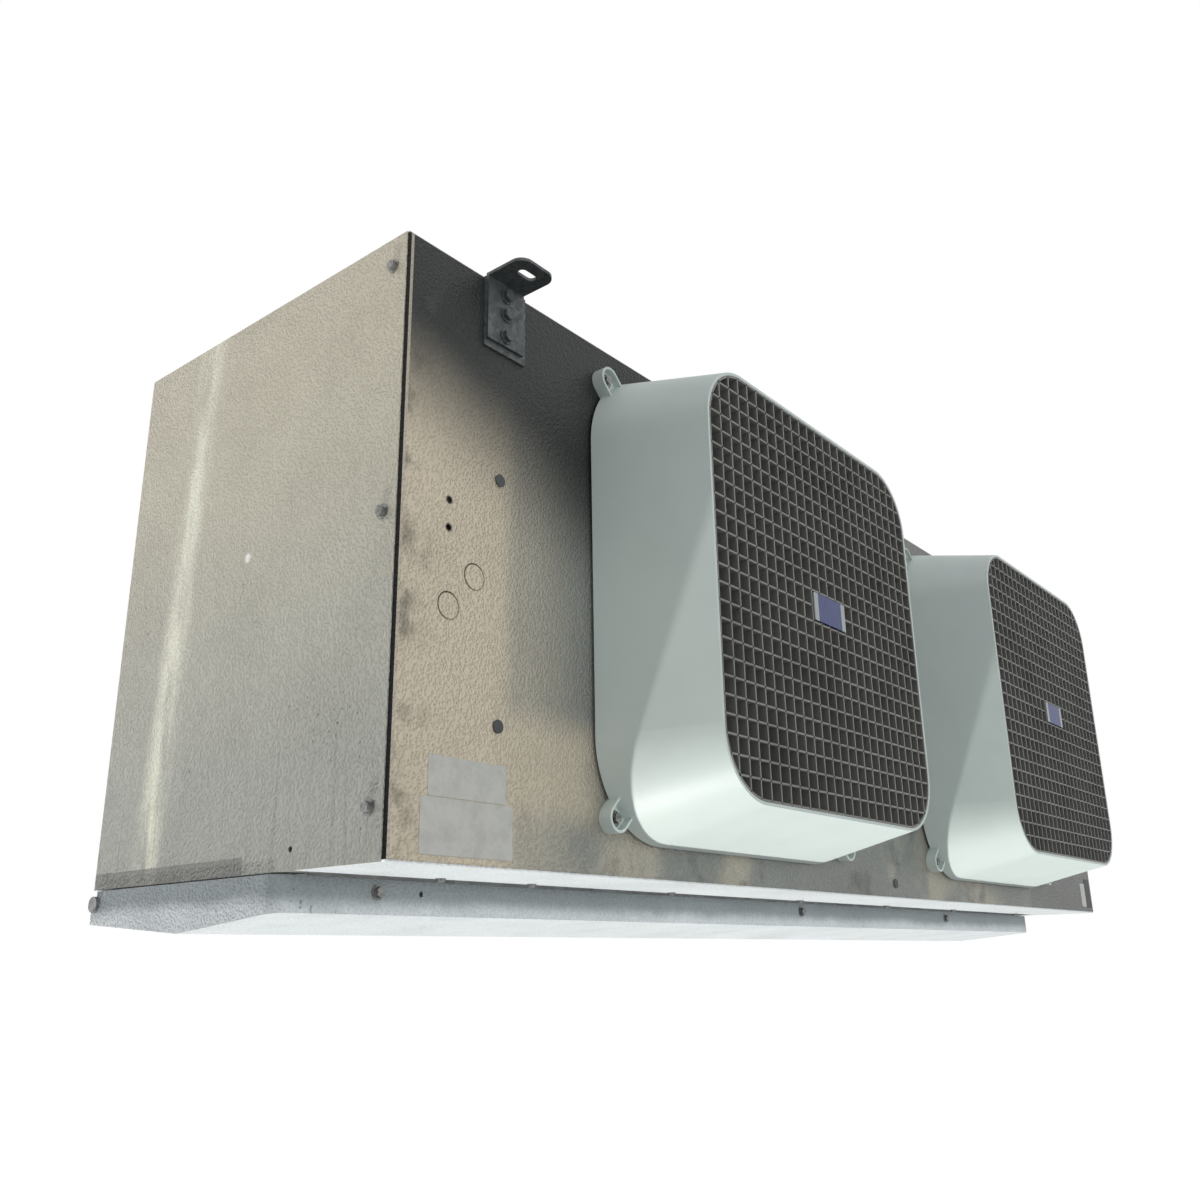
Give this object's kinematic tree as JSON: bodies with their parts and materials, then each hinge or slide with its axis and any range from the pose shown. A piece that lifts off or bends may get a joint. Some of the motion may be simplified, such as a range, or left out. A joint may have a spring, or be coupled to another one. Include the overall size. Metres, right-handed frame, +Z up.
{
  "type": "walk-in unit cooler",
  "caption": "Low-profile evaporator for a cold room: sheet cabinet hung from slotted brackets, forward-blowing fans in square plastic guards, finned coil and a hinged drain pan.",
  "frame": {"origin": "on the ceiling plane, midway between the slots of the four hanger brackets", "axes": "+X along the cabinet's length towards the end with the pipe connections, -Y the way the fans blow, +Z up into the ceiling"},
  "size_m": [1.6631, 0.5674, 0.565],
  "materials": {
    "embossed_sheet": "stucco-embossed coated sheet, dull sheen",
    "galvanised_sheet": "bright galvanised sheet",
    "zinc_plate": "dull zinc plate",
    "screw_steel": "plated, weathered",
    "shaft_steel": "ground",
    "guard_plastic": "pale blue-grey, satin",
    "grille_plastic": "mid grey, satin",
    "badge_plate": "blank blue plate with silver ends",
    "plug_plastic": "grey",
    "motor_paint": "black, satin",
    "fan_aluminium": "plain sheet",
    "fin_aluminium": "plain fins",
    "copper": "copper tube",
    "grommet_rubber": "black",
    "drain_brass": "turned"
  },
  "bodies": {
    "cabinet": {"centre_baffle": "galvanised_sheet", "coil_fins": "fin_aluminium", "end_panel_left": "embossed_sheet", "end_panel_right": "embossed_sheet", "end_panel_screws": "screw_steel", "floor_screws": "screw_steel", "front_panel": "embossed_sheet", "guard_badge_left": "badge_plate", "guard_badge_right": "badge_plate", "guard_grille_left": "grille_plastic", "guard_grille_right": "grille_plastic", "guard_screws": "screw_steel", "guard_shroud_left": "guard_plastic", "guard_shroud_right": "guard_plastic", "hanger_bolts": "screw_steel", "hanger_doublers": "zinc_plate", "hanger_front_left": "zinc_plate", "hanger_front_right": "zinc_plate", "hanger_rear_left": "zinc_plate", "hanger_rear_right": "zinc_plate", "hole_plugs": "plug_plastic", "liquid_line": "copper", "motor_bracket_left": "galvanised_sheet", "motor_bracket_right": "galvanised_sheet", "motor_left": "motor_paint", "motor_right": "motor_paint", "pan_pivot_bracket_left": "zinc_plate", "pan_pivot_bracket_right": "zinc_plate", "pan_pivots": "screw_steel", "pan_rail": "galvanised_sheet", "pipe_grommets": "grommet_rubber", "return_bends_left": "copper", "return_bends_right": "copper", "suction_header": "copper", "terminal_box": "galvanised_sheet", "top_panel": "embossed_sheet", "tube_sheet_left": "galvanised_sheet", "tube_sheet_right": "galvanised_sheet"},
    "pan": {"drain_pan": "galvanised_sheet", "drain_fitting": "drain_brass", "pan_screws": "screw_steel"},
    "left_fan": {"fan_left": "fan_aluminium", "motor_shaft_left": "shaft_steel"},
    "right_fan": {"fan_right": "fan_aluminium", "motor_shaft_right": "shaft_steel"}
  },
  "joints": [
    {"name": "left_fan_spin", "type": "hinge", "parent": "cabinet", "child": "left_fan", "pos_m": [-0.3415, -0.187, -0.258], "axis": [0, 1, 0], "continuous": true},
    {"name": "right_fan_spin", "type": "hinge", "parent": "cabinet", "child": "right_fan", "pos_m": [0.3415, -0.187, -0.258], "axis": [0, 1, 0], "continuous": true},
    {"name": "pan_swing", "type": "hinge", "parent": "cabinet", "child": "pan", "pos_m": [0, 0.189, -0.536], "axis": [1, 0, 0], "range_deg": [0, 60]}
  ]
}
